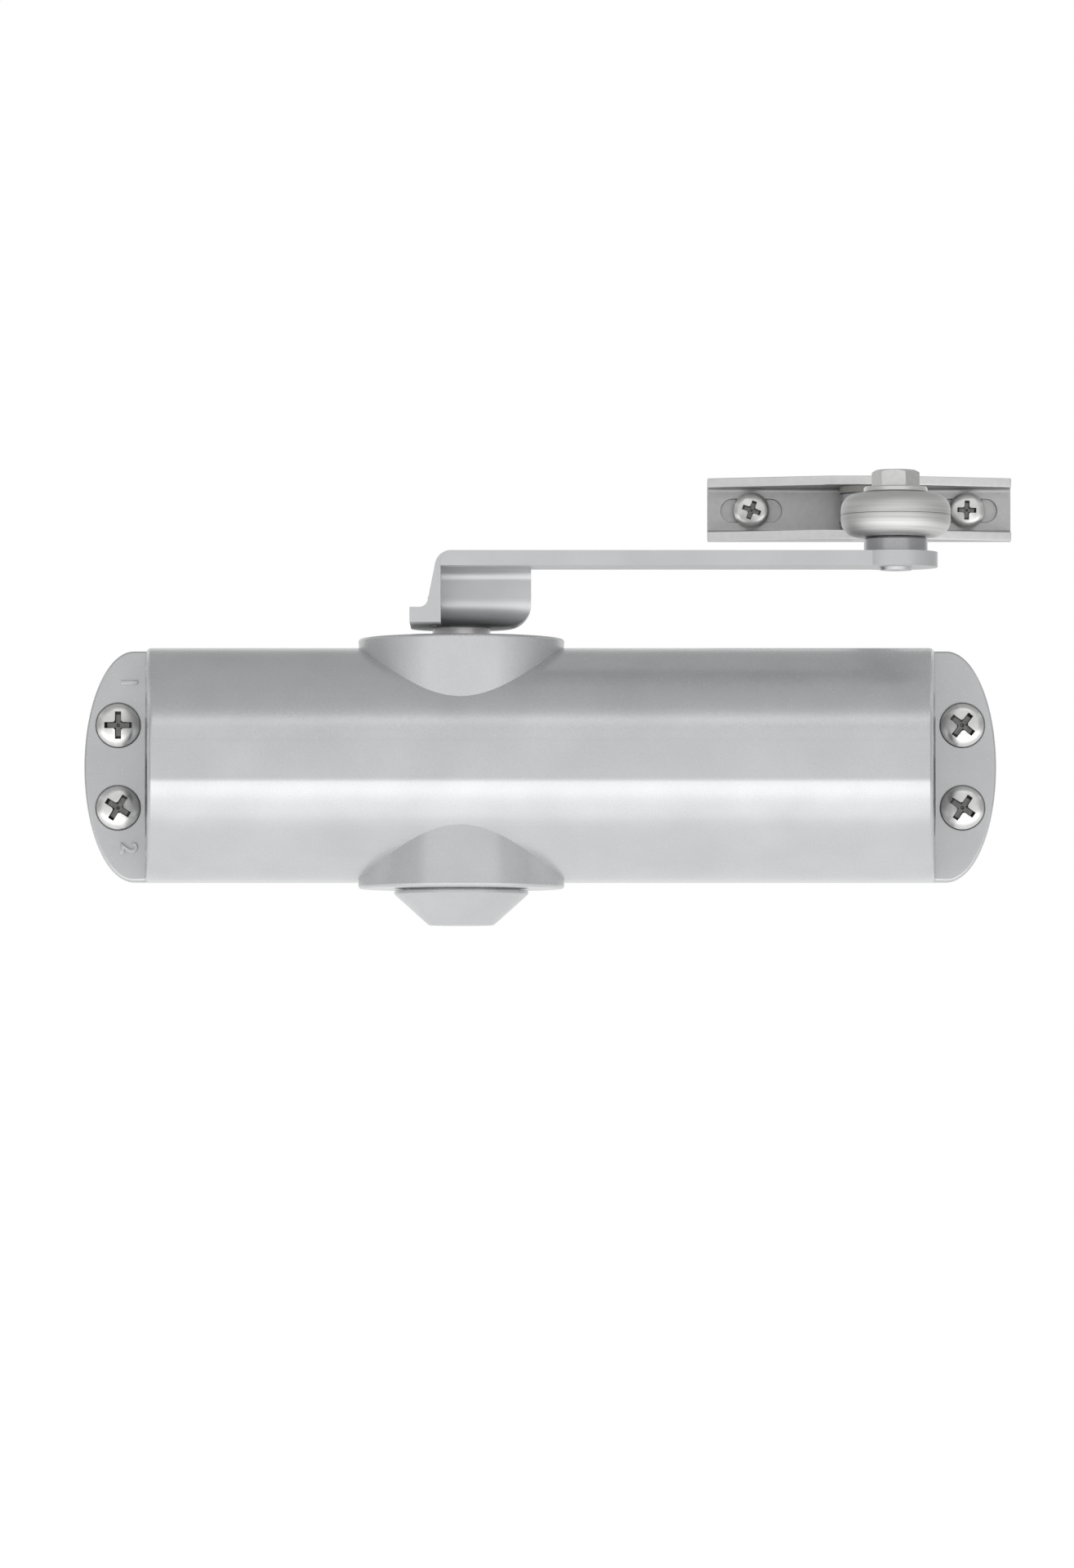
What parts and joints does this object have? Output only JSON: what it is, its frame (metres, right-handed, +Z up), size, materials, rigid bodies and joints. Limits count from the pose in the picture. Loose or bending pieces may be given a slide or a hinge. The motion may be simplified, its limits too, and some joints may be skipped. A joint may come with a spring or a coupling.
{
  "type": "overhead door closer",
  "caption": "Overhead door closer: cast housing with rack-and-pinion piston, cranked main arm, adjustable forearm and slotted frame bracket.",
  "frame": {"origin": "on the door's face, in the middle of the four housing screws", "axes": "+X along the door towards the arm's elbow at rest, +Y into the door, +Z up"},
  "size_m": [0.2356, 0.2582, 0.1234],
  "materials": {
    "silver_enamel": "satin silver enamel on a casting",
    "silver_cap": "satin silver enamel",
    "silver_arm": "satin silver enamel on pressed steel",
    "dark_steel": "turned",
    "turned_steel": "turned and ground",
    "bright_knuckle": "turned and zinc plated",
    "plated_screw": "bright zinc plate",
    "plated_bracket": "bright zinc plate",
    "spring_steel": "oiled",
    "valve_brass": "turned",
    "black_rubber": "matte",
    "dark_nylon": "matte",
    "white_nylon": "matte"
  },
  "bodies": {
    "body": {"housing": "silver_enamel", "left_end_plug": "dark_steel", "right_end_plug": "dark_steel", "left_plug_oring": "black_rubber", "right_plug_oring": "black_rubber", "return_spring": "spring_steel", "upper_bearing": "turned_steel", "lower_bearing": "turned_steel", "upper_seal": "black_rubber", "lower_seal": "black_rubber", "upper_gland": "dark_steel", "lower_gland": "dark_steel", "bottom_cap": "silver_cap", "valve_orings": "black_rubber", "housing_screws": "plated_screw"},
    "piston": {"piston": "turned_steel", "piston_ring": "black_rubber", "check_valve": "valve_brass", "check_ball": "turned_steel"},
    "main_arm": {"pinion_shaft": "turned_steel", "main_arm": "silver_arm", "arm_washer": "plated_screw", "arm_screw": "plated_screw", "elbow_pivot": "turned_steel", "elbow_washer": "plated_screw", "elbow_bolt": "plated_screw"},
    "forearm_tube": {"elbow_bush": "dark_nylon", "elbow_knuckle": "bright_knuckle", "forearm_tube": "silver_arm", "clamp_screw": "dark_steel"},
    "forearm_rod": {"forearm_rod": "bright_knuckle", "shoe_bushes": "white_nylon"},
    "shoe": {"shoe_pin": "plated_screw", "shoe_bracket": "plated_bracket", "shoe_screws": "plated_screw"},
    "closing_valve": {"closing_valve": "valve_brass"},
    "latching_valve": {"latching_valve": "valve_brass"}
  },
  "joints": [
    {"name": "pinion_turn", "type": "hinge", "parent": "body", "child": "main_arm", "pos_m": [-0.019, -0.0195, 0], "axis": [0, 0, 1], "range_deg": [0, 170], "stiffness_Nm_per_rad": 4, "springref_deg": -17.19},
    {"name": "piston_slide", "type": "slide", "parent": "body", "child": "piston", "axis": [1, 0, 0], "range_m": [0, 0.0246], "deforming": ["return_spring"]},
    {"name": "elbow_turn", "type": "hinge", "parent": "main_arm", "child": "forearm_tube", "pos_m": [0.0848, -0.0394, 0.05865], "axis": [0, 0, 1], "range_deg": [-150, 160]},
    {"name": "forearm_adjust", "type": "slide", "parent": "forearm_tube", "child": "forearm_rod", "axis": [0, 0.9967, 0.0807], "range_m": [-0.02, 0.02]},
    {"name": "shoe_turn", "type": "hinge", "parent": "forearm_rod", "child": "shoe", "pos_m": [0.0848, 0.1781, 0.07625], "axis": [0, 0, 1], "range_deg": [-75, 75]},
    {"name": "closing_valve_turn", "type": "hinge", "parent": "body", "child": "closing_valve", "pos_m": [-0.09, -0.0195, 0.0223], "axis": [1, 0, 0], "range_deg": [-270, 90]},
    {"name": "latching_valve_turn", "type": "hinge", "parent": "body", "child": "latching_valve", "pos_m": [-0.09, -0.0195, -0.0223], "axis": [1, 0, 0], "range_deg": [-270, 90]}
  ],
  "couplings": [
    {"joint": "piston_slide", "follows": "pinion_turn", "m_per_rad": 0.00825}
  ]
}
